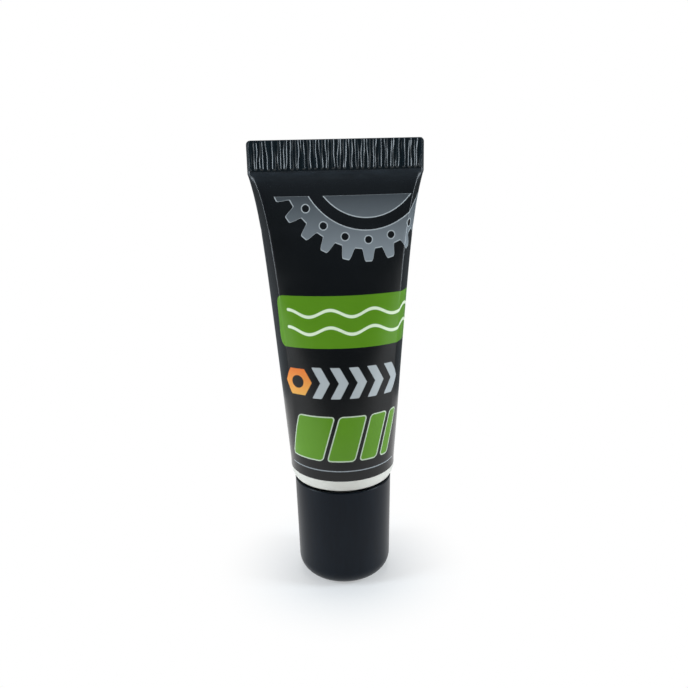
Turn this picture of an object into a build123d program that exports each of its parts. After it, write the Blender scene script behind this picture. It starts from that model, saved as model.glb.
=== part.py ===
"""Chain oil squeeze tube: a round-to-flat plastic sleeve with a ribbed end seal,
a moulded shoulder with a dropper nozzle, and the screw cap that it stands on.

Millimetres, +Z up. The origin is the centre of the cap's foot. The seal runs
along X and the printed front faces -Y.
"""

import os
from math import cos, pi, radians, sin, tan

from build123d import *

# Sleeve
tube_diameter = 19.3
sleeve_wall = 0.45
sleeve_length = 53.6
steady_flattening = 0.77
flattening_power = 9
depth_power = 0.75
crease_angle = 37.0
crease_power = 0.38
crease_rise = 0.35
slit_height = 0.2

# Ribbed end seal
seal_height = 4.9
seal_land_height = 0.6
seal_corner_radius = 0.7
rib_pitch = 1.0
rib_width = 0.5
rib_height = 0.15

# Shoulder, neck and nozzle
band_height = 2.1
shoulder_edge_diameter = 18.0
shoulder_angle = 20.0
shoulder_wall = 1.1
lap_height = 1.0
neck_diameter = 8.0
neck_length = 6.5
thread_height = 0.6
nozzle_root_diameter = 5.8
nozzle_tip_diameter = 3.8
nozzle_wall = 1.0
orifice_diameter = 1.2
orifice_length = 1.5
nozzle_edge_radius = 0.4

# Screw cap
cap_height = 19.65
cap_rim_diameter = 18.0
cap_foot_diameter = 17.25
cap_foot_radius = 3.3
cap_wall = 1.2
cap_rim_radius = 0.2
boss_wall = 1.1
pin_diameter = 1.0
pin_entry = 0.8
cap_gap = 0.55
seat_gap = 0.3
thread_gap = 0.15

# Heights and radii that follow
tube_radius = tube_diameter / 2
seal_half_width = (pi * (tube_diameter - sleeve_wall) / 2 + sleeve_wall) / 2
seal_half_thickness = sleeve_wall
shoulder_radius = shoulder_edge_diameter / 2
neck_radius = neck_diameter / 2
bore_radius = nozzle_root_diameter / 2 - nozzle_wall
shoulder_slope = tan(radians(shoulder_angle))

shoulder_z = cap_height + cap_gap
band_top_z = shoulder_z + band_height
collar_top_z = band_top_z + lap_height
seal_bottom_z = band_top_z + sleeve_length
land_bottom_z = seal_bottom_z - seal_land_height
neck_top_z = shoulder_z - (shoulder_radius - neck_radius) * shoulder_slope
neck_end_z = neck_top_z - neck_length
nozzle_tip_z = cap_wall + seat_gap

section_count = 8


def flattening(station):
    """Share of the way from round (0) to flat (1), most of it steady, the rest near the seal."""
    return steady_flattening * station + (1 - steady_flattening) * station**flattening_power


def sleeve_section(height, flat, inset, end_half_thickness):
    """Four arcs that meet at the creases: a circle where flat is 0, a thin strip where it is 1.

    The arcs are made as plain edges, which stay four where they lie on one circle.
    """
    left = 1 - flat
    radius = tube_radius - inset
    half_width = radius + (seal_half_width - tube_radius) * flat
    half_depth = end_half_thickness + (radius - end_half_thickness) * left**depth_power
    round_bulge = radius * (1 - cos(radians(crease_angle)))
    side_bulge = end_half_thickness + (round_bulge - end_half_thickness) * left**crease_power
    crease_share = sin(radians(crease_angle)) + crease_rise * flat**flattening_power
    x = half_width - side_bulge
    y = half_depth * crease_share
    front = Edge.make_three_point_arc((-x, -y, height), (0, -half_depth, height), (x, -y, height))
    right = Edge.make_three_point_arc((x, -y, height), (half_width, 0, height), (x, y, height))
    back = Edge.make_three_point_arc((x, y, height), (0, half_depth, height), (-x, y, height))
    left_side = Edge.make_three_point_arc((-x, y, height), (-half_width, 0, height), (-x, -y, height))
    return Face(Wire([front, right, back, left_side]))


def sleeve_sections(inset, end_half_thickness):
    """The sleeve's sections from its collar to the seal, drawn in by inset."""
    sections = []
    for index in range(section_count + 1):
        station = index / section_count
        height = collar_top_z + station * (land_bottom_z - collar_top_z)
        sections.append(sleeve_section(height, flattening(station), inset, end_half_thickness))
    return sections


# Extruded and printed sleeve, pressed flat and sealed at its top end
outer_sections = sleeve_sections(0, seal_half_thickness)
inner_sections = sleeve_sections(sleeve_wall, slit_height / 2)
with BuildPart() as tube_sleeve:
    loft(outer_sections)
    with BuildSketch(Plane.XY.offset(band_top_z)):
        Circle(tube_radius)
    extrude(amount=lap_height)
    loft(inner_sections, mode=Mode.SUBTRACT)
    with BuildSketch(Plane.XY.offset(band_top_z)):
        Circle(tube_radius - sleeve_wall)
    extrude(amount=lap_height, mode=Mode.SUBTRACT)
    rib_count = int(2 * (seal_half_width - seal_corner_radius) / rib_pitch)
    with BuildSketch(Plane.XY.offset(land_bottom_z)):
        Rectangle(2 * seal_half_width, 2 * seal_half_thickness)
    extrude(amount=seal_land_height)
    with BuildSketch(Plane.XY.offset(seal_bottom_z)):
        Rectangle(2 * seal_half_width, 2 * seal_half_thickness)
        with GridLocations(rib_pitch, 0, rib_count, 1):
            SlotOverall(2 * (seal_half_thickness + rib_height), rib_width, rotation=90)
    extrude(amount=seal_height)
    seal_ends = tube_sleeve.edges().filter_by(Axis.Y).group_by(Axis.Z)[-1].sort_by(Axis.X)
    fillet([seal_ends[0], seal_ends[-1]], seal_corner_radius)
tube_sleeve.part.label = "tube_sleeve"

# Moulded shoulder whose skirt laps inside the sleeve, with its neck and dropper nozzle
with BuildPart() as tube_head:
    lap_radius = tube_radius - sleeve_wall
    skirt_radius = lap_radius - shoulder_wall
    neck_inner_z = neck_top_z + shoulder_wall
    shoulder_inner_z = neck_inner_z + (skirt_radius - bore_radius) * shoulder_slope
    orifice_radius = orifice_diameter / 2
    orifice_end_z = nozzle_tip_z + orifice_length
    with BuildSketch(Plane.XZ) as head_profile:
        with BuildLine():
            band_start = (tube_radius, band_top_z)
            band_end = (shoulder_radius, shoulder_z)
            Polyline((lap_radius, collar_top_z), (lap_radius, band_top_z), band_start)
            TangentArc(band_start, band_end, tangent=(0, -1))
            Polyline(
                band_end,
                (neck_radius, neck_top_z),
                (neck_radius, neck_end_z),
                (nozzle_root_diameter / 2, neck_end_z),
                (nozzle_tip_diameter / 2, nozzle_tip_z),
                (orifice_radius, nozzle_tip_z),
                (orifice_radius, orifice_end_z),
                (bore_radius, neck_end_z),
                (bore_radius, neck_inner_z),
                (skirt_radius, shoulder_inner_z),
                (skirt_radius, collar_top_z),
                (lap_radius, collar_top_z),
            )
        make_face()
    revolve(axis=Axis.Z)
    tip_edge = tube_head.edges().filter_by(GeomType.CIRCLE).group_by(Axis.Z)[0].sort_by(SortBy.RADIUS)[-1]
    fillet(tip_edge, nozzle_edge_radius)
tube_head.part.label = "tube_head"

# Moulded screw cap: drafted skirt, rounded foot, inner boss for the neck and a sealing pin
with BuildPart() as screw_cap:
    rim_radius = cap_rim_diameter / 2
    foot_radius = cap_foot_diameter / 2
    with BuildSketch(Plane.XZ) as cap_outside:
        with BuildLine():
            Polyline(
                (0, 0),
                (foot_radius, 0),
                (rim_radius, cap_height),
                (0, cap_height - rim_radius * shoulder_slope),
                close=True,
            )
        make_face()
        fillet(cap_outside.vertices().group_by(Axis.Y)[0].sort_by(Axis.X)[-1], cap_foot_radius)
        fillet(cap_outside.vertices().group_by(Axis.Y)[-1], cap_rim_radius)
    revolve(axis=Axis.Z)
    with BuildSketch(Plane.XZ) as cap_inside:
        with BuildLine():
            Polyline(
                (0, cap_wall),
                (foot_radius - cap_wall, cap_wall),
                (rim_radius - cap_wall, cap_height),
                (0, cap_height),
                close=True,
            )
        make_face()
        corner = cap_inside.vertices().group_by(Axis.Y)[0].sort_by(Axis.X)[-1]
        fillet(corner, cap_foot_radius - cap_wall)
    revolve(axis=Axis.Z, mode=Mode.SUBTRACT)
    boss_bore_radius = neck_radius + thread_height + thread_gap
    with BuildSketch(Plane.XY.offset(cap_wall)):
        Circle(boss_bore_radius + boss_wall)
        Circle(boss_bore_radius, mode=Mode.SUBTRACT)
    extrude(amount=neck_top_z - cap_gap - cap_wall)
    with BuildSketch(Plane.XY.offset(cap_wall)):
        Circle(pin_diameter / 2)
    extrude(amount=nozzle_tip_z + pin_entry - cap_wall)
screw_cap.part.label = "screw_cap"

os.makedirs("parts", exist_ok=True)
for piece in (tube_sleeve, tube_head, screw_cap):
    export_step(piece.part, f"parts/{piece.part.label}.step")
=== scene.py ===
"""A small squeeze tube of chain oil that stands on its screw cap, in a pale studio.

Metres, +Z up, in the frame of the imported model. Sizes below are in millimetres.
"""
import math

import bmesh
import bpy
from mathutils import Matrix, Vector


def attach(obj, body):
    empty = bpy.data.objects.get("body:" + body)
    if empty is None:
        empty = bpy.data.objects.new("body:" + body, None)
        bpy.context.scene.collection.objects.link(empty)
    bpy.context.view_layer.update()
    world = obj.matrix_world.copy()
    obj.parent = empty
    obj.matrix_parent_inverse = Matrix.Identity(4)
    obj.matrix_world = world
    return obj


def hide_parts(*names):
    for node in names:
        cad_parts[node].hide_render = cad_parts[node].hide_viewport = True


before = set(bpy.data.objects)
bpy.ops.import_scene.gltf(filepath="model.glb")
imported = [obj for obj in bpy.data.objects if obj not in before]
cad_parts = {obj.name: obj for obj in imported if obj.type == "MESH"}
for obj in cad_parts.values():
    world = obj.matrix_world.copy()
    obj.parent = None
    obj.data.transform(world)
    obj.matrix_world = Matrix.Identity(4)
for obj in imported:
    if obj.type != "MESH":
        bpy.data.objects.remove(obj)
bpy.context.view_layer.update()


# Head: the white shoulder, threaded neck and dropper nozzle at the mouth of the tube.
# It is injection moulded in one shot from low density polyethylene, and its skirt is
# fused inside the end of the printed sleeve, so that only a white band shows below it.
MM = 0.001
TURN_STEPS = 160
MOULDED_SHARP_ANGLE = 32
ON_WALL = 0.01
TUBE_RADIUS = 9.65
SLEEVE_WALL = 0.45
HEAD_WALL = 1.1
BAND_TOP = 22.3
SKIRT_TOP = BAND_TOP + 1.0
SHOULDER_EDGE = (9.0, 20.2)
SHOULDER_SLOPE = math.tan(math.radians(20))
NECK_RADIUS = 4.0
NECK_TOP = SHOULDER_EDGE[1] - (SHOULDER_EDGE[0] - NECK_RADIUS) * SHOULDER_SLOPE
NECK_END = NECK_TOP - 6.5
NOZZLE_ROOT_RADIUS = 2.9
NOZZLE_TIP_RADIUS = 1.9
NOZZLE_TIP = 1.5
BORE_RADIUS = 1.9
ORIFICE_RADIUS = 0.6
ORIFICE_LENGTH = 1.5
THREAD_HEIGHT = 0.55
THREAD_PITCH = 2.2
THREAD_HALF_FOOT = 0.62
THREAD_FLANK = 0.34
THREAD_RUN_OUT = 0.2
NECK_THREAD_TURNS = 2.2
NECK_THREAD_START = NECK_END + 0.7


def linear(code):
    """An sRGB hex colour as linear RGBA."""
    shares = [int(code[i:i + 2], 16) / 255 for i in (1, 3, 5)]
    curve = [s / 12.92 if s <= 0.04045 else ((s + 0.055) / 1.055) ** 2.4 for s in shares]
    return (*curve, 1.0)


def add_node(tree, kind, inputs=None, **settings):
    """Adds one node with its settings; an input takes a value, an output or a whole node."""
    node = tree.nodes.new(kind)
    for name, value in settings.items():
        setattr(node, name, value)
    for key, value in (inputs or {}).items():
        if isinstance(value, bpy.types.Node):
            value = next(output for output in value.outputs if output.enabled)
        if isinstance(value, bpy.types.NodeSocket):
            tree.links.new(value, node.inputs[key])
        else:
            node.inputs[key].default_value = value
    return node


def new_material(name):
    """An empty node material, its tree and its output node."""
    material = bpy.data.materials.new(name)
    material.use_nodes = True
    tree = material.node_tree
    tree.nodes.clear()
    return material, tree, tree.nodes.new("ShaderNodeOutputMaterial")


def clamped(value):
    """A value held between 0 and 1."""
    return min(max(value, 0), 1)


def draw_outline(bm, points):
    """A chain of edges in the XZ plane through (radius, height) points."""
    corners = [bm.verts.new((x * MM, 0, z * MM)) for x, z in points]
    for start, end in zip(corners, corners[1:]):
        bm.edges.new((start, end))


def corner_at(bm, point):
    """The outline's vertex at a (radius, height) point."""
    place = Vector((point[0], 0, point[1])) * MM
    return min(bm.verts, key=lambda vert: (vert.co - place).length)


def round_corner(bm, point, setback, segments):
    """Rounds one corner of an outline; setback is the length taken from each side."""
    bmesh.ops.bevel(
        bm, geom=[corner_at(bm, point)], offset=setback * MM, offset_type="OFFSET",
        affect="VERTICES", segments=segments, profile=0.5, material=-1,
    )


def divide_side(bm, start, end, cuts):
    """Divides one straight side of an outline and returns its new vertices."""
    side = bm.edges.get((corner_at(bm, start), corner_at(bm, end)))
    made = bmesh.ops.subdivide_edges(bm, edges=[side], cuts=cuts)
    return [g for g in made["geom_inner"] if isinstance(g, bmesh.types.BMVert)]


def turn_solid(bm):
    """Turns the outline about Z into a closed solid."""
    bmesh.ops.spin(
        bm, geom=bm.verts[:] + bm.edges[:], cent=(0, 0, 0), axis=(0, 0, 1),
        angle=math.tau, steps=TURN_STEPS, use_merge=True,
    )
    bmesh.ops.remove_doubles(bm, verts=bm.verts[:], dist=0.001 * MM)
    loose = [e for e in bm.edges if not e.link_faces]
    bmesh.ops.delete(bm, geom=loose, context="EDGES")
    bmesh.ops.recalc_face_normals(bm, faces=bm.faces[:])
    # The turn leaves them in an order that differs from run to run, so it is set by place.
    for number, vert in enumerate(sorted(bm.verts, key=lambda vert: vert.co[:])):
        vert.index = number
    bm.verts.sort()
    by_corners = sorted(bm.faces, key=lambda face: sorted(v.index for v in face.verts))
    for number, face in enumerate(by_corners):
        face.index = number
    bm.faces.sort()


def thread_share(angle, height, start, turns):
    """0 on the wall and 1 on the crest of a one-start thread that runs out at both ends."""
    turn = angle / math.tau % 1
    offset = (height - start) / THREAD_PITCH - turn
    whole = round(offset)
    away = abs(offset - whole) * THREAD_PITCH
    along = whole + turn
    run_out = clamped(min(along, turns - along) / THREAD_RUN_OUT)
    flank = clamped((THREAD_HALF_FOOT - away) / THREAD_FLANK)
    return flank * flank * (3 - 2 * flank) * run_out


def new_piece(bm, name, sharp_angle):
    """Writes the mesh, smooth except at edges sharper than the angle, and links its object."""
    mesh = bpy.data.meshes.new(name)
    bm.to_mesh(mesh)
    bm.free()
    mesh.shade_smooth()
    mesh.set_sharp_from_angle(angle=math.radians(sharp_angle))
    piece = bpy.data.objects.new(name, mesh)
    bpy.context.scene.collection.objects.link(piece)
    return piece


bm = bmesh.new()
skirt_radius = TUBE_RADIUS - SLEEVE_WALL
inner_radius = skirt_radius - HEAD_WALL
inner_neck_top = NECK_TOP + HEAD_WALL
inner_shoulder = inner_neck_top + (inner_radius - BORE_RADIUS) * SHOULDER_SLOPE
skirt_edge = (skirt_radius, SKIRT_TOP)
band_start = (TUBE_RADIUS, BAND_TOP)
neck_start = (NECK_RADIUS, NECK_TOP)
neck_lip = (NECK_RADIUS, NECK_END)
tip_outside = (NOZZLE_TIP_RADIUS, NOZZLE_TIP)
tip_inside = (ORIFICE_RADIUS, NOZZLE_TIP)
draw_outline(bm, [
    skirt_edge,
    (skirt_radius, BAND_TOP),
    band_start,
    SHOULDER_EDGE,
    neck_start,
    neck_lip,
    (NOZZLE_ROOT_RADIUS, NECK_END),
    tip_outside,
    tip_inside,
    (ORIFICE_RADIUS, NOZZLE_TIP + ORIFICE_LENGTH),
    (BORE_RADIUS, NECK_END),
    (BORE_RADIUS, inner_neck_top),
    (inner_radius, inner_shoulder),
    (inner_radius, SKIRT_TOP),
    skirt_edge,
])
# The band curves in under the sleeve, upright at its top, to the edge of the shoulder.
inward = TUBE_RADIUS - SHOULDER_EDGE[0]
drop = BAND_TOP - SHOULDER_EDGE[1]
band_curve = (inward ** 2 + drop ** 2) / (2 * inward)
for vert in divide_side(bm, band_start, SHOULDER_EDGE, cuts=7):
    below = BAND_TOP - vert.co.z / MM
    vert.co.x = (TUBE_RADIUS - band_curve + math.sqrt(band_curve ** 2 - below ** 2)) * MM
divide_side(bm, neck_start, neck_lip, cuts=72)
round_corner(bm, SHOULDER_EDGE, setback=0.12, segments=3)
round_corner(bm, neck_lip, setback=0.06, segments=2)
round_corner(bm, tip_outside, setback=0.35, segments=5)
round_corner(bm, tip_inside, setback=0.1, segments=2)
turn_solid(bm)
for vert in bm.verts:
    x, y, z = vert.co / MM
    radius = math.hypot(x, y)
    if abs(radius - NECK_RADIUS) < ON_WALL:
        share = thread_share(math.atan2(y, x), z, NECK_THREAD_START, NECK_THREAD_TURNS)
        grown = (NECK_RADIUS + THREAD_HEIGHT * share) / radius
        vert.co.x *= grown
        vert.co.y *= grown
head = new_piece(bm, "shoulder_and_nozzle", MOULDED_SHARP_ANGLE)

# Moulded white LDPE: soft satin white, a little warm, with a faint waxy mottle.
MOTTLE_SIZE = 1.6
white_ldpe, tree, output = new_material("Moulded white LDPE, satin")
around = add_node(tree, "ShaderNodeTexCoord").outputs["Object"]
mottle = add_node(
    tree, "ShaderNodeTexNoise",
    {"Vector": around, "Scale": 1 / (MOTTLE_SIZE * MM), "Detail": 2.0},
)
white = add_node(
    tree, "ShaderNodeMix",
    {"Factor": mottle, "A": linear("#ccc8be"), "B": linear("#d5d1c7")}, data_type="RGBA",
)
waxy = add_node(tree, "ShaderNodeMapRange", {"Value": mottle, "To Min": 0.36, "To Max": 0.48})
surface = add_node(
    tree, "ShaderNodeBsdfPrincipled", {"Base Color": white, "Roughness": waxy, "IOR": 1.51},
)
tree.links.new(surface.outputs["BSDF"], output.inputs["Surface"])
head.data.materials.append(white_ldpe)
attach(head, "tube")
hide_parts("tube_head")


# Sleeve: the printed body of the tube, open at the head and flat at the top end.
# It is a thin polyethylene web, printed and varnished flat, rolled to a tube round the
# head's skirt, filled with oil, and pressed shut between the ribbed jaws of a sealer.
COLUMNS = 900
WEB_SHARP_ANGLE = 75
COLLAR_TOP = SKIRT_TOP
LAND_BOTTOM = 75.3
SEAL_BOTTOM = 75.9
SLEEVE_TOP = 80.8
PERIMETER = math.tau * TUBE_RADIUS
SEAL_HALF_WIDTH = (math.pi * (2 * TUBE_RADIUS - SLEEVE_WALL) / 2 + SLEEVE_WALL) / 2
SEAL_CORNER = 0.7
EDGE_ROUND = 0.14
SLIT_HALF_DEPTH = 0.1
SLIT_END = LAND_BOTTOM - 0.05
LIP_INSIDE = BAND_TOP + 0.05

# How the round tube goes flat towards the seal, with creases beside its front and back,
# and side facets that flatten above the middle.
STEADY_FLATTENING = 0.77
FLATTENING_POWER = 9
DEPTH_POWER = 0.75
CREASE_ANGLE = math.radians(37)
CREASE_POWER = 0.38
CREASE_RISE = 0.35
FACET_START = 34
FACET_LENGTH = 16
FACET_POWER = 1.3


def sleeve_form(height, inset, end_depth):
    """Half width, half depth, side bulge, crease depth and side flatness at a height."""
    station = clamped((height - COLLAR_TOP) / (LAND_BOTTOM - COLLAR_TOP))
    late = station ** FLATTENING_POWER
    flat = STEADY_FLATTENING * station + (1 - STEADY_FLATTENING) * late
    left = 1 - flat
    radius = TUBE_RADIUS - inset
    half_width = radius + (SEAL_HALF_WIDTH - TUBE_RADIUS) * flat
    half_depth = end_depth + (radius - end_depth) * left ** DEPTH_POWER
    round_bulge = radius * (1 - math.cos(CREASE_ANGLE))
    side_bulge = end_depth + (round_bulge - end_depth) * left ** CREASE_POWER
    crease_share = math.sin(CREASE_ANGLE) + CREASE_RISE * flat ** FLATTENING_POWER
    side_flat = clamped((height - FACET_START) / FACET_LENGTH)
    return half_width, half_depth, side_bulge, half_depth * crease_share, side_flat


def sleeve_outline(form):
    """A function from a share of the outline, 0 at the front's middle, to X and Y."""
    half_width, half_depth, side_bulge, crease_depth, side_flat = form
    crease_x = half_width - side_bulge
    sag = max(half_depth - crease_depth, 1e-4)
    front_radius = (crease_x ** 2 + sag ** 2) / (2 * sag)
    front_length = front_radius * math.atan2(crease_x, front_radius - sag)
    side_radius = (crease_depth ** 2 + side_bulge ** 2) / (2 * side_bulge)
    side_angle = math.atan2(crease_depth, side_radius - side_bulge)
    quarter = front_length + side_radius * side_angle

    def point(share):
        behind = abs(share) > 0.25
        along = (0.5 - abs(share) if behind else abs(share)) * 4 * quarter
        if along < front_length:
            x = front_radius * math.sin(along / front_radius)
            y = front_radius * (1 - math.cos(along / front_radius)) - half_depth
        else:
            turn = side_angle - (along - front_length) / side_radius
            y = -side_radius * math.sin(turn)
            x_round = half_width - side_radius * (1 - math.cos(turn))
            x_flat = half_width - side_bulge * abs(y / crease_depth) ** FACET_POWER
            x = x_round + (x_flat - x_round) * side_flat
        return math.copysign(x, share), -y if behind else y

    return point


def steps(start, end, count):
    """Evenly spaced heights from start up to end, without the end."""
    return [start + (end - start) * i / count for i in range(count)]


# The rows of the web, from the slit inside the seal, down the inner wall, round the
# lower lip, up the printed outside and over the top edge. The last value flattens a row.
INNER_BEND = 68
OUTER_BEND = 66
RIB_FOOT_TOP = SEAL_BOTTOM + 0.4
CORNER_START = SLEEVE_TOP - SEAL_CORNER
EDGE_START = SLEEVE_TOP - EDGE_ROUND
inner_rows = [(SLIT_END, 0.0)]
inner_rows += [(z, 1.0) for z in reversed(steps(INNER_BEND, SLIT_END, 6))]
inner_rows += [(z, 1.0) for z in reversed(steps(COLLAR_TOP, INNER_BEND, 5))]
inner_rows += [(LIP_INSIDE, 1.0)]
outer_heights = [BAND_TOP, BAND_TOP + 0.03, BAND_TOP + 0.1, BAND_TOP + 0.4]
outer_heights += steps(COLLAR_TOP, OUTER_BEND, 28)
outer_heights += steps(OUTER_BEND, LAND_BOTTOM, 22)
outer_heights += steps(LAND_BOTTOM, RIB_FOOT_TOP, 8)
outer_heights += steps(RIB_FOOT_TOP, CORNER_START, 13)
outer_heights += steps(CORNER_START, EDGE_START, 3)
outer_rows = [(z, 1.0) for z in outer_heights]
for turn in (0, 30, 60, 90):
    rise = math.sin(math.radians(turn))
    pull = math.cos(math.radians(turn))
    thin = 1 - EDGE_ROUND / SLEEVE_WALL * (1 - pull)
    outer_rows.append((SLEEVE_TOP - EDGE_ROUND * (1 - rise), thin))
outer_rows.append((SLEEVE_TOP, 0.4))
outer_rows.append((SLEEVE_TOP, 0.0))
rows = inner_rows + outer_rows
inside_count = len(inner_rows)
row_count = len(rows) - 1

# The ribs that the jaws press into the seal. Each leans, sways and crowds its neighbours
# a little, and has flanks of its own width, by chances that are the same on each run.
RIB_PITCH = 1.0
RIB_HEIGHT = 0.19
RIB_LEAST_SHARE = 0.85
RIB_RIDGE = 0.07
RIB_FLANK = 0.18
RIB_FLANK_SPREAD = 0.17
RIB_START = 0.12
RIB_START_SPREAD = 0.06
RIB_END_MARGIN = 0.3
RIB_END_FADE = 0.2
RIB_LEAN = 0.11
RIB_LEAN_CENTRE = 78.4
RIB_SWAY = 0.04
RIB_SWAY_RATE = 1.7
RIB_CROWDING = 0.25
RIB_CROWDING_RATE = 0.9
RIB_FACE_DEPTH = 0.4


def seal_rib(x, z):
    """Shift along the seal and share of a rib's height at a point, with the faults of the jaws."""
    number = round(x / RIB_PITCH - 0.5) + 0.5
    chance = math.sin(number * 12.9898) * 43758.5453 % 1
    other_chance = chance * 7.31 % 1
    aside = x - number * RIB_PITCH
    off_ridge = abs(aside) / (RIB_PITCH / 2)
    flank_width = RIB_FLANK + RIB_FLANK_SPREAD * (chance if aside < 0 else 1 - chance)
    flank = clamped((RIB_RIDGE + flank_width - abs(aside)) / flank_width)
    start = clamped((z - SEAL_BOTTOM - RIB_START_SPREAD * chance) / RIB_START)
    ends = clamped((SEAL_HALF_WIDTH - RIB_END_MARGIN - abs(x)) / RIB_END_FADE)
    lean = (other_chance - 0.5) * RIB_LEAN * (z - RIB_LEAN_CENTRE)
    sway = RIB_SWAY * math.sin(RIB_SWAY_RATE * z + 40 * chance)
    crowding = 1 + RIB_CROWDING * math.sin(RIB_CROWDING_RATE * z + 60 * chance)
    crowded = math.copysign(off_ridge ** crowding * RIB_PITCH / 2, aside) - aside
    shift = (lean + sway) * (1 - off_ridge ** 2) + crowded
    height = RIB_LEAST_SHARE + (1 - RIB_LEAST_SHARE) * other_chance
    return shift * start * ends, flank * height * math.sqrt(start) * ends


bm = bmesh.new()
bake_map = bm.loops.layers.uv.new("OFBake")
print_map = bm.loops.layers.uv.new("print_mm")
bmesh.ops.create_grid(bm, x_segments=COLUMNS, y_segments=row_count, size=1.0, calc_uvs=True)
outlines = []
for index, (height, _) in enumerate(rows):
    inside = index < inside_count
    inset = SLEEVE_WALL if inside else 0
    form = sleeve_form(height, inset, SLIT_HALF_DEPTH if inside else SLEEVE_WALL)
    above = max(height - CORNER_START, 0)
    cut_back = SEAL_CORNER - math.sqrt(max(SEAL_CORNER ** 2 - above ** 2, 0))
    outlines.append(sleeve_outline((form[0] - cut_back, *form[1:])))
for vert in bm.verts:
    row = round((vert.co.y + 1) / 2 * row_count)
    height, thin = rows[row]
    x, y = outlines[row](vert.co.x / 2)
    vert.co = Vector((x, y * thin, height)) * MM
bmesh.ops.remove_doubles(bm, verts=bm.verts[:], dist=0.0005 * MM)
# The creases are softened on the outside, away from the collar and the seal.
SOFT_BOTTOM = COLLAR_TOP + 2
SOFT_TOP = LAND_BOTTOM - 0.1
SOFTENING_PASSES = 4
outside_loft = [
    vert for vert in bm.verts
    if round(vert.link_loops[0][bake_map].uv.y * row_count) >= inside_count
    and SOFT_BOTTOM < vert.co.z / MM < SOFT_TOP
]
for _ in range(SOFTENING_PASSES):
    bmesh.ops.smooth_vert(
        bm, verts=outside_loft, factor=0.5, use_axis_x=True, use_axis_y=True, use_axis_z=False,
    )
# Soft dents in the filled body, and the lap down the back where the web's edges are welded.
DENT_DEPTH = 0.06
DENT_BOTTOM = 26
DENT_FADE_IN = 10
DENT_FADE_OUT = 8
DENT_RATE_ACROSS = 0.55
DENT_RATE_UP = 0.42
BODY_LEAST_DEPTH = 1
LAP_STEP = 0.07
LAP_START = -0.1
LAP_RISE = 0.15
LAP_WIDTH = 2.2
for vert in bm.verts:
    x, y, z = vert.co / MM
    body = clamped((z - DENT_BOTTOM) / DENT_FADE_IN) * clamped((LAND_BOTTOM - z) / DENT_FADE_OUT)
    wave_across = math.sin(DENT_RATE_ACROSS * x + 1.3)
    wave_up = math.sin(DENT_RATE_UP * z + 0.7)
    dent = (1 + wave_across * wave_up) / 2
    inward = DENT_DEPTH * dent * body
    if y > 0 and LAP_START < x < LAP_WIDTH and z < SEAL_BOTTOM:
        inward += LAP_STEP * min((x - LAP_START) / LAP_RISE, 1 - x / LAP_WIDTH)
    if abs(y) > BODY_LEAST_DEPTH:
        vert.co.y -= math.copysign(inward, y) * MM
for vert in bm.verts:
    x, y, z = vert.co / MM
    if z > SEAL_BOTTOM:
        shift, share = seal_rib(x, z)
        vert.co.x += shift * MM
        on_face = min(abs(y) / RIB_FACE_DEPTH, 1)
        vert.co.y += math.copysign(RIB_HEIGHT * share, y) * MM * on_face
# The web's places in the print, in millimetres from the front's middle and the floor,
# and the same web laid out once across a square, with the inner wall in a strip below.
INNER_STRIP = 0.06
OUTER_STRIP = 0.07
OUTER_SHARE = 0.91
TOP_EDGE_SHARE = 0.001
for face in bm.faces:
    for loop in face.loops:
        across, up = loop[bake_map].uv
        row = round(up * row_count)
        height = rows[row][0]
        inside = row < inside_count
        loop[print_map].uv = ((across - 0.5) * PERIMETER, -height if inside else height)
        if inside:
            loop[bake_map].uv.y = INNER_STRIP * row / inside_count
        else:
            climb = (height - BAND_TOP) / (SLEEVE_TOP - BAND_TOP)
            over_edge = TOP_EDGE_SHARE * max(row - row_count + 2, 0)
            loop[bake_map].uv.y = OUTER_STRIP + OUTER_SHARE * climb + over_edge
bmesh.ops.recalc_face_normals(bm, faces=bm.faces[:])
sleeve = new_piece(bm, "printed_sleeve", WEB_SHARP_ANGLE)

# Printed and varnished PE web: deep glossy black with flat fields of ink over it, under
# a clear varnish that is a little uneven, as on film that was printed from rollers.
INK_EDGE = 0.05
GREEN = linear("#568614")
MATH = "ShaderNodeMath"
VECTOR = "ShaderNodeVectorMath"
printed_pe, tree, output = new_material("Printed PE web, gloss varnish")
web = add_node(tree, "ShaderNodeUVMap", uv_map="print_mm")
web_place = add_node(tree, "ShaderNodeSeparateXYZ", {0: web})
across = web_place.outputs["X"]
up = web_place.outputs["Y"]


def printed_box(at, centre, half_size, corner):
    """Distance in mm from a box with round corners; at is the place on the web."""
    away = add_node(tree, VECTOR, {0: at, 1: (*centre, 0)}, operation="SUBTRACT")
    away = add_node(tree, VECTOR, {0: away}, operation="ABSOLUTE")
    core = (half_size[0] - corner, half_size[1] - corner, 0)
    away = add_node(tree, VECTOR, {0: away, 1: core}, operation="SUBTRACT")
    away = add_node(tree, VECTOR, {0: away, 1: (0, 0, 0)}, operation="MAXIMUM")
    away = add_node(tree, VECTOR, {0: away}, operation="LENGTH")
    return add_node(tree, MATH, {0: away, 1: corner}, operation="SUBTRACT")


def joined(shapes):
    """The distance from several printed shapes taken as one."""
    whole = shapes[0]
    for shape in shapes[1:]:
        whole = add_node(tree, MATH, {0: whole, 1: shape}, operation="MINIMUM")
    return whole


def inked(under, shape, ink, grown=0.0):
    """The colour under an ink, with the ink laid over it inside a shape grown by so many mm."""
    cover = add_node(
        tree, "ShaderNodeMapRange",
        {"Value": shape, "From Min": grown + INK_EDGE, "From Max": grown - INK_EDGE},
    )
    return add_node(
        tree, "ShaderNodeMix", {"Factor": cover, "A": under, "B": ink}, data_type="RGBA",
    )


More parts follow.
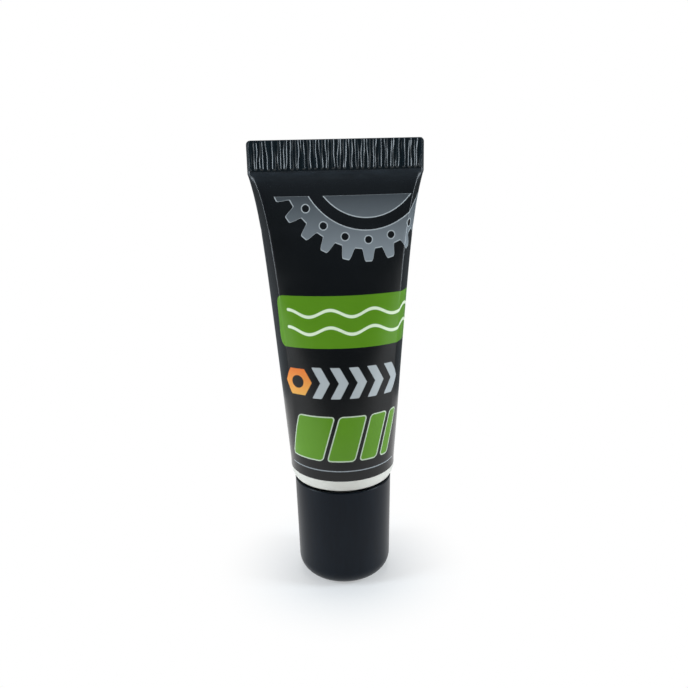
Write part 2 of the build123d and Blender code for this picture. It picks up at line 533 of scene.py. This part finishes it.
# Grey sprocket that reaches down from the upper right, lighter towards its teeth, with a
# thin pale edge.
SPROCKET_CENTRE = (5.0, 77.2)
SPROCKET_CUT = 71.6
SPROCKET_EDGE = 0.14
TOOTH_COUNT = 26
TOOTH_ROOT = 14.3
TOOTH_TIP = 16.4
RING_BORE = 11.4
SPIDER_RADIUS = 9.2
HOLE_COUNT = 20
HOLE_CIRCLE = 12.9
HOLE_RADIUS = 0.75
from_hub = add_node(tree, VECTOR, {0: web, 1: (*SPROCKET_CENTRE, 0)}, operation="SUBTRACT")
hub_place = add_node(tree, "ShaderNodeSeparateXYZ", {0: from_hub})
hub_away = add_node(tree, VECTOR, {0: from_hub}, operation="LENGTH")
hub_angle = add_node(
    tree, MATH, {0: hub_place.outputs["X"], 1: hub_place.outputs["Y"]}, operation="ARCTAN2",
)
tooth_turn = add_node(tree, MATH, {0: hub_angle, 1: TOOTH_COUNT}, operation="MULTIPLY")
tooth_wave = add_node(tree, MATH, {0: tooth_turn}, operation="COSINE")
tooth_rise = add_node(
    tree, "ShaderNodeMapRange",
    {
        "Value": tooth_wave, "From Min": -0.55, "From Max": 0.75,
        "To Min": TOOTH_ROOT, "To Max": TOOTH_TIP,
    },
    interpolation_type="SMOOTHSTEP",
)
toothed = add_node(tree, MATH, {0: hub_away, 1: tooth_rise}, operation="SUBTRACT")
bored = add_node(tree, MATH, {0: RING_BORE, 1: hub_away}, operation="SUBTRACT")
sprocket = add_node(tree, MATH, {0: toothed, 1: bored}, operation="MAXIMUM")
hole_turn = add_node(
    tree, MATH,
    {0: hub_angle, 1: math.pi / HOLE_COUNT, 2: -math.pi / HOLE_COUNT}, operation="WRAP",
)
hole_aside = add_node(tree, MATH, {0: hole_turn, 1: hub_away}, operation="MULTIPLY")
hole_along = add_node(tree, MATH, {0: hub_away, 1: HOLE_CIRCLE}, operation="SUBTRACT")
hole_place = add_node(tree, "ShaderNodeCombineXYZ", {0: hole_aside, 1: hole_along})
hole_away = add_node(tree, VECTOR, {0: hole_place}, operation="LENGTH")
hole = add_node(tree, MATH, {0: HOLE_RADIUS, 1: hole_away}, operation="SUBTRACT")
sprocket = add_node(tree, MATH, {0: sprocket, 1: hole}, operation="MAXIMUM")
spider = add_node(tree, MATH, {0: hub_away, 1: SPIDER_RADIUS}, operation="SUBTRACT")
sprocket = joined([sprocket, spider])
above_cut = add_node(tree, MATH, {0: up, 1: SPROCKET_CUT}, operation="SUBTRACT")
sprocket_edge = add_node(tree, MATH, {0: sprocket, 1: SPROCKET_EDGE}, operation="SUBTRACT")
sprocket_edge = add_node(tree, MATH, {0: sprocket_edge, 1: above_cut}, operation="MAXIMUM")
sprocket = add_node(tree, MATH, {0: sprocket, 1: above_cut}, operation="MAXIMUM")
steel_share = add_node(
    tree, "ShaderNodeMapRange", {"Value": up, "From Min": 72.5, "From Max": 61.5},
)
steel = add_node(
    tree, "ShaderNodeMix",
    {"Factor": steel_share, "A": linear("#373b3e"), "B": linear("#80868a")}, data_type="RGBA",
)
colour = inked(linear("#0b0d0e"), sprocket_edge, linear("#b4b9ba"))
colour = inked(colour, sprocket, steel)

# Green panel with round ends that wraps round the right side to the back, with two
# pale wave lines along it.
PANEL_CENTRE = (8.0, 50.6)
PANEL_HALF_SIZE = (20.0, 4.5)
PANEL_CORNER = 1.8
WAVE_LENGTH = 7.6
WAVE_HEIGHT = 0.6
LINE_HALF_SIZE = (17.6, 0.27)
LINE_CORNER = 0.25
panel = printed_box(web, PANEL_CENTRE, PANEL_HALF_SIZE, PANEL_CORNER)
colour = inked(colour, panel, GREEN)
wave_turn = add_node(tree, MATH, {0: across, 1: math.tau / WAVE_LENGTH}, operation="MULTIPLY")
wave = add_node(tree, MATH, {0: wave_turn}, operation="SINE")
waved_up = add_node(tree, MATH, {0: wave, 1: WAVE_HEIGHT, 2: up}, operation="MULTIPLY_ADD")
waved = add_node(tree, "ShaderNodeCombineXYZ", {0: across, 1: waved_up})
lines = []
for rise in (-1.5, 1.5):
    line_centre = (PANEL_CENTRE[0], PANEL_CENTRE[1] + rise)
    lines.append(printed_box(waved, line_centre, LINE_HALF_SIZE, LINE_CORNER))
colour = inked(colour, joined(lines), linear("#dbe6c6"))

# Light grey chevrons in a row, and an orange hexagon nut before them.
CHEVRON_UP = 40.0
CHEVRON_SLOPE = 0.55
CHEVRON_START = -3.2
CHEVRON_PITCH = 3.3
CHEVRON_HALF_SIZE = (0.85, 2.75)
CHEVRON_CORNER = 0.15
off_middle = add_node(tree, MATH, {0: up, 1: CHEVRON_UP}, operation="SUBTRACT")
off_middle = add_node(tree, MATH, {0: off_middle}, operation="ABSOLUTE")
bent_across = add_node(
    tree, MATH, {0: off_middle, 1: CHEVRON_SLOPE, 2: across}, operation="MULTIPLY_ADD",
)
bent = add_node(tree, "ShaderNodeCombineXYZ", {0: bent_across, 1: up})
chevrons = []
for number in range(5):
    chevron_centre = (CHEVRON_START + CHEVRON_PITCH * number, CHEVRON_UP)
    chevrons.append(printed_box(bent, chevron_centre, CHEVRON_HALF_SIZE, CHEVRON_CORNER))
colour = inked(colour, joined(chevrons), linear("#acb0b0"))

NUT_CENTRE = (-8.3, CHEVRON_UP)
NUT_HALF_FLATS = 2.35
NUT_HOLE = 1.15
from_nut = add_node(tree, VECTOR, {0: web, 1: (*NUT_CENTRE, 0)}, operation="SUBTRACT")
nut_side = add_node(tree, VECTOR, {0: from_nut}, operation="ABSOLUTE")
slant = (math.sin(math.radians(60)), math.cos(math.radians(60)), 0)
nut_slant = add_node(tree, VECTOR, {0: nut_side, 1: slant}, operation="DOT_PRODUCT")
nut_flat = add_node(tree, VECTOR, {0: nut_side, 1: (0, 1, 0)}, operation="DOT_PRODUCT")
nut = add_node(tree, MATH, {0: nut_slant, 1: nut_flat}, operation="MAXIMUM")
nut = add_node(tree, MATH, {0: nut, 1: NUT_HALF_FLATS}, operation="SUBTRACT")
nut_away = add_node(tree, VECTOR, {0: from_nut}, operation="LENGTH")
nut_hole = add_node(tree, MATH, {0: NUT_HOLE, 1: nut_away}, operation="SUBTRACT")
nut = add_node(tree, MATH, {0: nut, 1: nut_hole}, operation="MAXIMUM")
amber_share = add_node(
    tree, "ShaderNodeMapRange",
    {
        "Value": up,
        "From Min": NUT_CENTRE[1] - NUT_HALF_FLATS, "From Max": NUT_CENTRE[1] + NUT_HALF_FLATS,
    },
)
amber = add_node(
    tree, "ShaderNodeMix",
    {"Factor": amber_share, "A": linear("#dfa24a"), "B": linear("#e3752c")}, data_type="RGBA",
)
colour = inked(colour, nut, amber)

# Four slanted green bars, from broad to slim, each with a thin pale edge.
BAR_UP = 30.0
BAR_SLANT = 0.3
BAR_START = -9.6
BAR_GAP = 1.1
BAR_HALF_HEIGHT = 3.9
BAR_CORNER = 0.5
BAR_EDGE = 0.2
off_middle = add_node(tree, MATH, {0: up, 1: BAR_UP}, operation="SUBTRACT")
slanted_across = add_node(
    tree, MATH, {0: off_middle, 1: -BAR_SLANT, 2: across}, operation="MULTIPLY_ADD",
)
slanted = add_node(tree, "ShaderNodeCombineXYZ", {0: slanted_across, 1: up})
bars = []
bar_start = BAR_START
for width in (6.6, 4.7, 3.1, 1.6):
    bar_centre = (bar_start + width / 2, BAR_UP)
    bars.append(printed_box(slanted, bar_centre, (width / 2, BAR_HALF_HEIGHT), BAR_CORNER))
    bar_start += width + BAR_GAP
bars = joined(bars)
colour = inked(colour, bars, linear("#c0cbb2"), BAR_EDGE)
colour = inked(colour, bars, GREEN)

# A thin grey rule across the front near the lower end.
RULE_CENTRE = (-0.2, 24.2)
RULE_HALF_SIZE = (11.4, 0.08)
RULE_CORNER = 0.06
rule = printed_box(web, RULE_CENTRE, RULE_HALF_SIZE, RULE_CORNER)
colour = inked(colour, rule, linear("#989da0"))

# A block of thin grey rules on the back.
BLOCK_CORNER = (-28.0, 64.0)
BLOCK_PITCH = 1.7
BLOCK_HALF_HEIGHT = 0.22
BLOCK_ROUND = 0.2
back_rules = []
for number, length in enumerate((7.4, 6.2, 7.4, 4.8, 7.4, 5.6, 3.6)):
    rule_centre = (BLOCK_CORNER[0] + length / 2, BLOCK_CORNER[1] - BLOCK_PITCH * number)
    back_rules.append(printed_box(web, rule_centre, (length / 2, BLOCK_HALF_HEIGHT), BLOCK_ROUND))
colour = inked(colour, joined(back_rules), linear("#8e9396"))

# Ink laid by roller varies a little in density, and the varnish over it has a fine orange
# peel, coarser and hazy where the heat of the jaws has crept below the seal. On the seal
# the polished jaws have pressed it smoother. The seal's colour is set to a cooler, bluer black.
INK_CLOUD_SIZE = 5.0
PEEL_SIZE = 1.1
PEEL_DEPTH = 0.004
PUCKER_SIZE = 0.6
PUCKER_DEPTH = 0.03
PUCKER_STRETCH = (0.3, 0.3, 1)
HAZE_POWER = 4.0
HAZE_ROUGHNESS = 0.2
UNPRESSED_ROUGHNESS = 0.05
around = add_node(tree, "ShaderNodeTexCoord").outputs["Object"]
cloud = add_node(
    tree, "ShaderNodeTexNoise",
    {"Vector": around, "Scale": 1 / (INK_CLOUD_SIZE * MM), "Detail": 3.0},
)
density = add_node(tree, "ShaderNodeMapRange", {"Value": cloud, "To Min": 0.93, "To Max": 1.07})
colour = add_node(tree, VECTOR, {0: colour, 1: density}, operation="MULTIPLY")
gloss = add_node(tree, "ShaderNodeMapRange", {"Value": cloud, "To Min": 0.12, "To Max": 0.24})
peel = add_node(
    tree, "ShaderNodeTexNoise",
    {"Vector": around, "Scale": 1 / (PEEL_SIZE * MM), "Detail": 1.0},
)
varnish = add_node(
    tree, "ShaderNodeBump", {"Strength": 1.0, "Distance": PEEL_DEPTH * MM, "Height": peel},
)
level_streaks = add_node(tree, "ShaderNodeMapping", {"Vector": around, "Scale": PUCKER_STRETCH})
pucker = add_node(
    tree, "ShaderNodeTexNoise",
    {"Vector": level_streaks, "Scale": 1 / (PUCKER_SIZE * MM), "Detail": 3.0},
)
towards_seal = add_node(
    tree, "ShaderNodeMapRange", {"Value": up, "From Min": 70.5, "From Max": 75.5},
)
below_seal = add_node(
    tree, "ShaderNodeMapRange",
    {"Value": up, "From Min": 75.6, "From Max": 76.0, "To Min": 1.0, "To Max": 0.0},
)
gloss = add_node(
    tree, MATH, {0: below_seal, 1: UNPRESSED_ROUGHNESS, 2: gloss}, operation="MULTIPLY_ADD",
)
near_seal = add_node(tree, MATH, {0: towards_seal, 1: below_seal}, operation="MULTIPLY")
heated = add_node(tree, MATH, {0: near_seal, 1: HAZE_POWER}, operation="POWER")
haze_share = add_node(tree, MATH, {0: heated, 1: pucker}, operation="MULTIPLY")
colour = add_node(
    tree, "ShaderNodeMix",
    {"Factor": haze_share, "A": colour, "B": linear("#2a3137")}, data_type="RGBA",
)
colour = add_node(
    tree, "ShaderNodeMix",
    {"Factor": below_seal, "A": linear("#0b161b"), "B": colour}, data_type="RGBA",
)
gloss = add_node(tree, MATH, {0: heated, 1: HAZE_ROUGHNESS, 2: gloss}, operation="MULTIPLY_ADD")
puckered = add_node(tree, MATH, {0: pucker, 1: near_seal}, operation="MULTIPLY")
film = add_node(
    tree, "ShaderNodeBump",
    {"Strength": 1.0, "Distance": PUCKER_DEPTH * MM, "Height": puckered, "Normal": varnish},
)
surface = add_node(
    tree, "ShaderNodeBsdfPrincipled",
    {
        "Base Color": colour, "Roughness": gloss, "Normal": film,
        "IOR": 1.5, "Specular IOR Level": 0.36,
    },
)
tree.links.new(surface.outputs["BSDF"], output.inputs["Surface"])
sleeve.data.materials.append(printed_pe)
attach(sleeve, "tube")
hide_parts("tube_sleeve")


# Cap: the black screw cap that the tube stands on, upside down.
# It is injection moulded from polypropylene, drafted towards its rounded foot, with an
# inner boss that carries the thread and a pin that plugs the nozzle when it is screwed home.
CAP_HEIGHT = 19.65
CAP_RIM = 9.0
CAP_FOOT = 8.625
CAP_WALL = 1.2
BOSS_BORE = 4.75
BOSS_OUTER = BOSS_BORE + 1.1
BOSS_TOP = NECK_TOP - 0.55
BOSS_FOOT = CAP_WALL + 0.1
PIN_RADIUS = 0.5
PIN_TOP = NOZZLE_TIP + 0.8
CAP_THREAD_DEPTH = 0.4
CAP_THREAD_TURNS = 2.6
CAP_THREAD_START = 11.2
GROOVE_BOTTOM = 9
GROOVE_TOP = BOSS_TOP - 0.3
GROOVE_FADE_IN = 0.8
GROOVE_FADE_OUT = 0.3
bm = bmesh.new()
foot_edge = (CAP_FOOT, 0)
rim_edge = (CAP_RIM, CAP_HEIGHT)
rim_lip = (CAP_RIM - CAP_WALL, CAP_HEIGHT - CAP_WALL * SHOULDER_SLOPE)
floor_edge = (CAP_FOOT - CAP_WALL, CAP_WALL)
boss_edge = (BOSS_OUTER, BOSS_TOP)
bore_edge = (BOSS_BORE, BOSS_TOP)
bore_end = (BOSS_BORE, CAP_WALL)
pin_edge = (PIN_RADIUS, PIN_TOP)
draw_outline(bm, [
    (0, 0),
    foot_edge,
    rim_edge,
    rim_lip,
    floor_edge,
    (BOSS_OUTER, BOSS_FOOT),
    boss_edge,
    bore_edge,
    bore_end,
    (PIN_RADIUS, CAP_WALL),
    pin_edge,
    (0, PIN_TOP),
])
divide_side(bm, bore_edge, bore_end, cuts=130)
round_corner(bm, foot_edge, setback=3.24, segments=14)
round_corner(bm, rim_edge, setback=0.2, segments=4)
round_corner(bm, rim_lip, setback=0.15, segments=3)
round_corner(bm, floor_edge, setback=1.2, segments=6)
round_corner(bm, boss_edge, setback=0.15, segments=2)
round_corner(bm, bore_edge, setback=0.06, segments=2)
round_corner(bm, pin_edge, setback=0.2, segments=3)
turn_solid(bm)
for vert in bm.verts:
    x, y, z = vert.co / MM
    radius = math.hypot(x, y)
    if abs(radius - BOSS_BORE) < ON_WALL and GROOVE_BOTTOM < z < GROOVE_TOP:
        share = thread_share(math.atan2(y, x), z, CAP_THREAD_START, CAP_THREAD_TURNS)
        fade = min((z - GROOVE_BOTTOM) / GROOVE_FADE_IN, 1, (GROOVE_TOP - z) / GROOVE_FADE_OUT)
        grown = (BOSS_BORE + CAP_THREAD_DEPTH * fade * (1 - share)) / radius
        vert.co.x *= grown
        vert.co.y *= grown
cap = new_piece(bm, "screw_cap_moulding", MOULDED_SHARP_ANGLE)

# Moulded black PP: near black with a cool cast and a soft sheen, faintly streaked along
# the way the melt flowed. The grain is drawn at 0.25 mm, coarser than life, to show at all.
FLOW_WIDTH = 0.9
FLOW_STRETCH = (1, 1, 0.15)
GRAIN_SIZE = 0.25
GRAIN_DEPTH = 0.002
black_pp, tree, output = new_material("Moulded black PP, fine satin")
around = add_node(tree, "ShaderNodeTexCoord").outputs["Object"]
along_flow = add_node(tree, "ShaderNodeMapping", {"Vector": around, "Scale": FLOW_STRETCH})
flow = add_node(
    tree, "ShaderNodeTexNoise",
    {"Vector": along_flow, "Scale": 1 / (FLOW_WIDTH * MM), "Detail": 3.0},
)
black = add_node(
    tree, "ShaderNodeMix",
    {"Factor": flow, "A": linear("#040a12"), "B": linear("#09131d")}, data_type="RGBA",
)
sheen = add_node(tree, "ShaderNodeMapRange", {"Value": flow, "To Min": 0.27, "To Max": 0.37})
grain = add_node(
    tree, "ShaderNodeTexNoise",
    {"Vector": around, "Scale": 1 / (GRAIN_SIZE * MM), "Detail": 1.0},
)
skin = add_node(
    tree, "ShaderNodeBump", {"Strength": 1.0, "Distance": GRAIN_DEPTH * MM, "Height": grain},
)
surface = add_node(
    tree, "ShaderNodeBsdfPrincipled",
    {
        "Base Color": black, "Roughness": sheen, "Normal": skin,
        "IOR": 1.49, "Specular IOR Level": 0.17,
    },
)
tree.links.new(surface.outputs["BSDF"], output.inputs["Surface"])
cap.data.materials.append(black_pp)
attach(cap, "cap")
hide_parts("screw_cap")


# Studio: a pale floor in an even white room, a soft box at each side and one overhead,
# and glowing grey flags round the camera and behind the tube that only its gloss sees: painted
# reflections that keep its gloss dark.
FLOOR_RADIUS = 4000
FLAT_SHARP_ANGLE = 30
SHADOW_CORE = 6
SHADOW_REACH = 26
bm = bmesh.new()
bmesh.ops.create_circle(bm, cap_ends=True, segments=96, radius=FLOOR_RADIUS * MM)
floor = new_piece(bm, "studio_floor", FLAT_SHARP_ANGLE)
pale_paper, tree, output = new_material("Pale matt paper")


def seen_share(tree):
    """1 for a ray that shows the room to the eye, straight, mirrored or through glass."""
    ray = add_node(tree, "ShaderNodeLightPath")
    seen = add_node(
        tree, MATH,
        {0: ray.outputs["Is Camera Ray"], 1: ray.outputs["Is Glossy Ray"]}, operation="MAXIMUM",
    )
    return add_node(
        tree, MATH, {0: seen, 1: ray.outputs["Is Transmission Ray"]}, operation="MAXIMUM",
    )


# The paper glows white to the eye, and keeps the tube's shadow close round its foot.
paper = add_node(tree, "ShaderNodeBsdfDiffuse", {"Color": (0.85, 0.85, 0.85, 1)})
glow = add_node(tree, "ShaderNodeEmission", {"Color": (1, 1, 1, 1), "Strength": 1.0})
floor_place = add_node(tree, "ShaderNodeTexCoord").outputs["Object"]
floor_away = add_node(tree, VECTOR, {0: floor_place}, operation="LENGTH")
lift = add_node(
    tree, "ShaderNodeMapRange",
    {
        "Value": floor_away, "From Min": SHADOW_CORE * MM, "From Max": SHADOW_REACH * MM,
        "To Min": 0.35, "To Max": 1.0,
    },
    interpolation_type="SMOOTHSTEP",
)
lift = add_node(tree, MATH, {0: lift, 1: seen_share(tree)}, operation="MULTIPLY")
mix = add_node(tree, "ShaderNodeMixShader", {0: lift, 1: paper, 2: glow})
tree.links.new(mix.outputs[0], output.inputs["Surface"])
floor.data.materials.append(pale_paper)

world = bpy.data.worlds.new("White room")
bpy.context.scene.world = world
world.use_nodes = True
tree = world.node_tree
tree.nodes.clear()
room = add_node(
    tree, "ShaderNodeMapRange", {"Value": seen_share(tree), "To Min": 0.35, "To Max": 1.0},
)
backdrop = add_node(tree, "ShaderNodeBackground", {"Color": (1, 1, 1, 1), "Strength": room})
add_node(tree, "ShaderNodeOutputWorld", {"Surface": backdrop})

# Glowing flags that only the gloss of the tube sees: painted reflections that stand in
# for a dim room. The grey ones glow paler higher up, a painted reflection that lightens upwards.
grey_glow_flag, tree, output = new_material("Grey glowing flag")
glow_place = add_node(tree, "ShaderNodeTexCoord").outputs["Object"]
glow_place = add_node(tree, "ShaderNodeSeparateXYZ", {0: glow_place})
glow_share = add_node(
    tree, "ShaderNodeMapRange",
    {"Value": glow_place.outputs["Z"], "From Min": 30 * MM, "From Max": 160 * MM},
)
glow_grey = add_node(
    tree, "ShaderNodeMix",
    {"Factor": glow_share, "A": linear("#3a4046"), "B": linear("#828f9d")}, data_type="RGBA",
)
flag_glow = add_node(tree, "ShaderNodeEmission", {"Color": glow_grey, "Strength": 1.0})
tree.links.new(flag_glow.outputs[0], output.inputs["Surface"])


def hang_flag(name, size, tilt, place, turn, flag_glow):
    """A glowing flag of a size, tilted back from upright, set in front at a place, then turned
    about Z.
    """
    bm = bmesh.new()
    bmesh.ops.create_grid(bm, x_segments=2, y_segments=2, size=0.5)
    bmesh.ops.scale(bm, verts=bm.verts[:], vec=(size[0] * MM, size[1] * MM, 1))
    upright = Matrix.Rotation(math.radians(90 - tilt), 3, "X")
    bmesh.ops.rotate(bm, verts=bm.verts[:], matrix=upright)
    bmesh.ops.translate(bm, verts=bm.verts[:], vec=Vector(place) * MM)
    bmesh.ops.rotate(bm, verts=bm.verts[:], matrix=Matrix.Rotation(math.radians(turn), 3, "Z"))
    flag = new_piece(bm, name, FLAT_SHARP_ANGLE)
    flag.data.materials.append(flag_glow)
    # Hidden from the camera, from diffuse light and from shadows, the flag glows only in
    # reflections: a painted reflection.
    flag.visible_camera = False
    flag.visible_diffuse = False
    flag.visible_shadow = False


hang_flag("front_flag", (440, 480), 0, (0, -165, 240), 0, grey_glow_flag)
hang_flag("overhead_flag", (500, 420), 75, (0, -30, 520), 0, grey_glow_flag)
# The right flag glows darker than the left: a painted darker reflection down the tube's right
# side.
for side, turn, tone in (("left", -133, "#959ca2"), ("right", 133, "#6c7378")):
    side_glow_flag, tree, output = new_material(f"Pale glowing flag, {side}")
    flag_glow = add_node(tree, "ShaderNodeEmission", {"Color": linear(tone), "Strength": 1.0})
    tree.links.new(flag_glow.outputs[0], output.inputs["Surface"])
    hang_flag(f"{side}_back_flag", (170, 300), 0, (0, -95, 150), turn, side_glow_flag)


def soft_box(name, place, aim, size, watts, tint):
    """A soft box at a place, turned to its aim, all in millimetres."""
    lamp = bpy.data.lights.new(name, "AREA")
    lamp.shape = "RECTANGLE"
    lamp.size = size[0] * MM
    lamp.size_y = size[1] * MM
    lamp.energy = watts
    lamp.color = linear(tint)[:3]
    box = bpy.data.objects.new(name, lamp)
    box.location = Vector(place) * MM
    box.rotation_euler = (Vector(aim) - Vector(place)).to_track_quat("-Z", "Y").to_euler()
    bpy.context.scene.collection.objects.link(box)


for side, aside in (("left", -330), ("right", 330)):
    soft_box(f"{side}_soft_box", (aside, -90, 140), (0, 0, 45), (90, 320), 1.17, "#e5f4ff")
soft_box("top_soft_box", (0, 160, 680), (0, 0, 40), (300, 300), 1.3, "#ffffff")

# The camera stands where the photograph was taken, and looks a little down, with a slight roll.
EYE = Vector((-6.81, -129.43, 81.28))
YAW, PITCH, ROLL = (math.radians(a) for a in (3.331, 15.672, -1.202))
FOCAL_LENGTH = 38.856
SENSOR_WIDTH = 36
forward = Vector((
    math.sin(YAW) * math.cos(PITCH), math.cos(YAW) * math.cos(PITCH), -math.sin(PITCH),
))
level_right = forward.cross(Vector((0, 0, 1))).normalized()
level_up = level_right.cross(forward)
rolled_right = level_right * math.cos(ROLL) + level_up * math.sin(ROLL)
rolled_up = level_up * math.cos(ROLL) - level_right * math.sin(ROLL)
lens = bpy.data.cameras.new("studio_camera")
lens.sensor_width = SENSOR_WIDTH
lens.lens = FOCAL_LENGTH
lens.clip_start = 10 * MM
camera = bpy.data.objects.new("studio_camera", lens)
turned = Matrix((rolled_right, rolled_up, -forward)).transposed()
camera.matrix_world = Matrix.Translation(EYE * MM) @ turned.to_4x4()
bpy.context.scene.collection.objects.link(camera)
bpy.context.scene.camera = camera
bpy.context.scene.view_settings.view_transform = "Standard"
